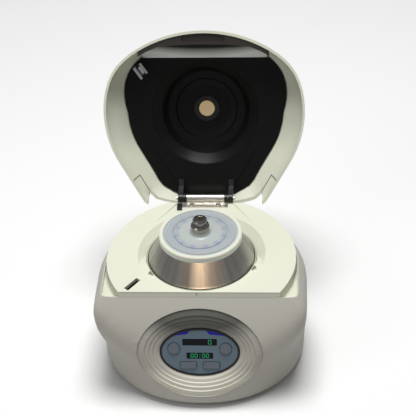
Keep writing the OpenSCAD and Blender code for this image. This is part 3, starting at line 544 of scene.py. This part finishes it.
def digit_bar(length, width):
    """One bar of a digit, with pointed ends."""
    deselect()
    bpy.ops.mesh.primitive_plane_add(size=1, location=(0, 0, 0))
    bar = bpy.context.object
    bar.scale = (length, width, 1)
    bpy.ops.object.transform_apply(scale=True)
    in_edit(bar)
    bpy.ops.mesh.bevel(offset=width * 0.4, affect="VERTICES", segments=2)
    thick(0.00008)
    return bar


def lit_number(name, middle, centres, wide, tall, dots=()):
    """Zeros of seven-bar shape in a display, with the two dots between hours and minutes if it has them."""
    lying = digit_bar(wide * 0.74, BAR_WIDTH)
    standing = digit_bar(tall * 0.43, BAR_WIDTH)
    parts = [lying, standing]
    for x in centres:
        at = Vector((x, middle, 0))
        for y in (-tall / 2, tall / 2):
            parts.append(copied(lying, at + Vector((0, y, 0))))
        for sx in (-wide / 2, wide / 2):
            for y in (-tall / 4, tall / 4):
                parts.append(copied(standing, at + Vector((sx, y, 0)), radians(90)))
    for y in dots:
        deselect()
        bpy.ops.mesh.primitive_circle_add(vertices=20, radius=0.00036, fill_type="NGON",
                                          location=(0, middle + y, 0))
        in_edit(bpy.context.object)
        thick(0.00008)
        parts.append(bpy.context.object)
    for spare in (lying, standing):
        parts.remove(spare)
        bpy.data.objects.remove(spare)
    for part in parts:
        deselect()
        part.select_set(True)
        bpy.context.view_layer.objects.active = part
        bpy.ops.object.transform_apply(location=True, rotation=True, scale=True)
    number = joined(parts)
    on_panel(number, DISPLAY_DEPTH - PRINT_PROUD)
    return finished(number, name, DIGITS, "base")


def printed_outline(name, centre, size, corner, line):
    """A thin dark line printed round a key: a round one where the corner is half its size."""
    deselect()
    if corner * 2 >= size[0]:
        bpy.ops.mesh.primitive_circle_add(vertices=72, radius=size[0] / 2, fill_type="NGON",
                                          location=(0, 0, 0))
        outline = bpy.context.object
        in_edit(outline)
    else:
        bpy.ops.mesh.primitive_plane_add(size=1, location=(0, 0, 0))
        outline = bpy.context.object
        outline.scale = (size[0], size[1], 1)
        bpy.ops.object.transform_apply(scale=True)
        in_edit(outline)
        bpy.ops.mesh.bevel(offset=corner, affect="VERTICES", segments=6)
        bpy.ops.mesh.select_all(action="SELECT")
    bpy.ops.mesh.inset(thickness=line)
    bpy.ops.mesh.delete(type="FACE")
    thick(0.0001)
    outline.location = (centre[0], centre[1], 0)
    on_panel(outline, FILM_DEPTH + PRINT_PROUD)
    return finished(outline, name, INK, "base", 20)


def smooth_copy(name, body, degrees):
    """A merged copy of a moulding, shaded smooth between its facets, that stands for it."""
    smooth = bpy.data.objects.new(name + "_smooth", nodes[name].data.copy())
    scene.collection.objects.link(smooth)
    in_edit(smooth)
    bpy.ops.mesh.remove_doubles(threshold=0.000002)
    bpy.ops.object.mode_set(mode="OBJECT")
    bpy.ops.object.shade_smooth_by_angle(angle=radians(degrees))
    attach(smooth, body)
    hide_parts(name)
    deselect()


def wall_strip(name, source, cuts, turned, proud, finish, body):
    """A thin raised strip cut out of a copy of a moulding's own inner wall, so that it follows the wall.
    Each cut is a normal and the two distances along it between which the wall is kept."""
    strip = bpy.data.objects.new(name, nodes[source].data.copy())
    scene.collection.objects.link(strip)
    in_edit(strip)
    bpy.ops.mesh.remove_doubles(threshold=0.000002)
    spin = turned.to_3x3()
    for normal, low, high in cuts:
        normal = Vector(normal).normalized()
        for far, clear in ((low, "clear_inner"), (high, "clear_outer")):
            bpy.ops.mesh.select_all(action="SELECT")
            bpy.ops.mesh.bisect(plane_co=turned @ (normal * far), plane_no=spin @ normal, **{clear: True})
    bpy.ops.mesh.select_mode(type="FACE")
    bpy.ops.mesh.select_all(action="DESELECT")
    bpy.ops.object.mode_set(mode="OBJECT")
    back = turned.inverted()
    for face in strip.data.polygons:
        centre = back @ face.center
        facing = back.to_3x3() @ face.normal
        face.select = facing.x * centre.x + facing.y * centre.y > -0.002
    bpy.ops.object.mode_set(mode="EDIT")
    bpy.ops.mesh.delete(type="FACE")
    bpy.ops.object.mode_set(mode="OBJECT")
    wall = strip.modifiers.new("thickness", "SOLIDIFY")
    wall.thickness = proud
    wall.offset = 1.0
    bpy.ops.object.modifier_apply(modifier=wall.name)
    return finished(strip, name, finish, body)


def front_mark():
    """The small upright tooling mark in the middle of the deck's front step."""
    start = Vector((-0.0023, -0.2, 0.1385))
    hit, place, normal, index = nodes["top_deck"].ray_cast(start, Vector((0, 1, 0)))
    if not hit:
        return
    deselect()
    bpy.ops.mesh.primitive_cube_add(size=1, location=place - Vector((0, 0, 0.0008)))
    mark = bpy.context.object
    mark.scale = (0.0006, 0.0016, 0.0040)
    bpy.ops.object.transform_apply(scale=True)
    in_edit(mark)
    bpy.ops.mesh.bevel(offset=0.0001, segments=2)
    bpy.ops.object.mode_set(mode="OBJECT")
    finished(mark, "deck_front_mark", SEAM_AND_SHADE_LINE, "base")


lit_number("speed_digit", 0.0122, (0.0117,), 0.0032, 0.0050)
lit_number("time_digits", -0.0046, (-0.0090, -0.0043, 0.0043, 0.0088), 0.0028, 0.0042, (-0.0013, 0.0013))
for side, x in (("left", -0.030), ("right", 0.030)):
    printed_outline(side + "_button_outline", (x, 0.0044), (0.0152, 0.0152), 0.0076, 0.00045)
for side, x in (("left", -0.0134), ("right", 0.0134)):
    printed_outline(side + "_key_outline", (x, -0.0164), (0.0203, 0.0093), 0.0012, 0.0004)
# Dark strips along the lid's inner ledge and step: painted shade lines where the wall steps
for side, sign in (("left", -1), ("right", 1)):
    across = (0.513 * -sign, 0.858, 0)
    half = ((sign, 0, 0), 0.055, 0.2)
    for shape, heights, reach in (
            ("_lid_ledge", (LEDGE_HEIGHT, LEDGE_TOP), (0.0235, 0.30)),
            ("_lid_step", (RIM_HEIGHT, LEDGE_TOP), (0.0228, 0.0240))):
        wall_strip(side + shape, "lid_shell", [((0, 0, 1), *heights), (across, *reach), half], opened,
                   STRIP_PROUD, SEAM_AND_SHADE_LINE, "lid")
front_mark()
smooth_copy("housing", "base", 32)
smooth_copy("lid_shell", "lid", 32)
smooth_copy("liner_front_wall", "lid", 40)


# ---- floor and light ----
def put_studio():
    deselect()
    bpy.ops.mesh.primitive_plane_add(size=8, location=(0, 0, 0))
    floor = bpy.context.object
    floor.name = "floor"
    pale, tree, shader = material("pale floor", Roughness=0.9)
    seen = node(tree, "LightPath")
    tree.links.new(blend(tree, seen.outputs["Is Camera Ray"], (0.55, 0.55, 0.55), (0.93, 0.93, 0.93)),
                   shader.inputs["Base Color"])
    floor.data.materials.append(pale)
    for name, place, size, power, colour in (
            ("top light", (0.05, 0.12, 2.3), 1.0, 46, (1, 1, 1)),
            ("left light", (-1.5, -1.2, 1.5), 1.0, 5, (1, 1, 1)),
            ("warm light", (0.10, -1.60, 0.86), 0.42, 5.4, (1.0, 0.70, 0.44))):
        lamp = bpy.data.lights.new(name, "AREA")
        lamp.size = size
        lamp.energy = power
        lamp.color = colour
        holder = bpy.data.objects.new(name, lamp)
        scene.collection.objects.link(holder)
        holder.location = place
        aim = Vector((0, 0, 0.15)) - Vector(place)
        holder.rotation_euler = aim.to_track_quat("-Z", "Y").to_euler()
        if name == "warm light":
            bright = bpy.data.collections.new("rotor, knob and window")
            for bright_part in ("rotor", "cover_knob", "view_window"):
                bright.objects.link(nodes[bright_part])
            holder.light_linking.receiver_collection = bright
    world = bpy.data.worlds.new("studio")
    scene.world = world
    world.use_nodes = True
    sky = world.node_tree.nodes["Background"]
    sky.inputs["Color"].default_value = (1, 1, 1, 1)
    sky.inputs["Strength"].default_value = 0.22
    scene.view_settings.view_transform = "Standard"
    scene.view_settings.look = "None"
    scene.view_settings.exposure = 0


put_camera()
put_studio()
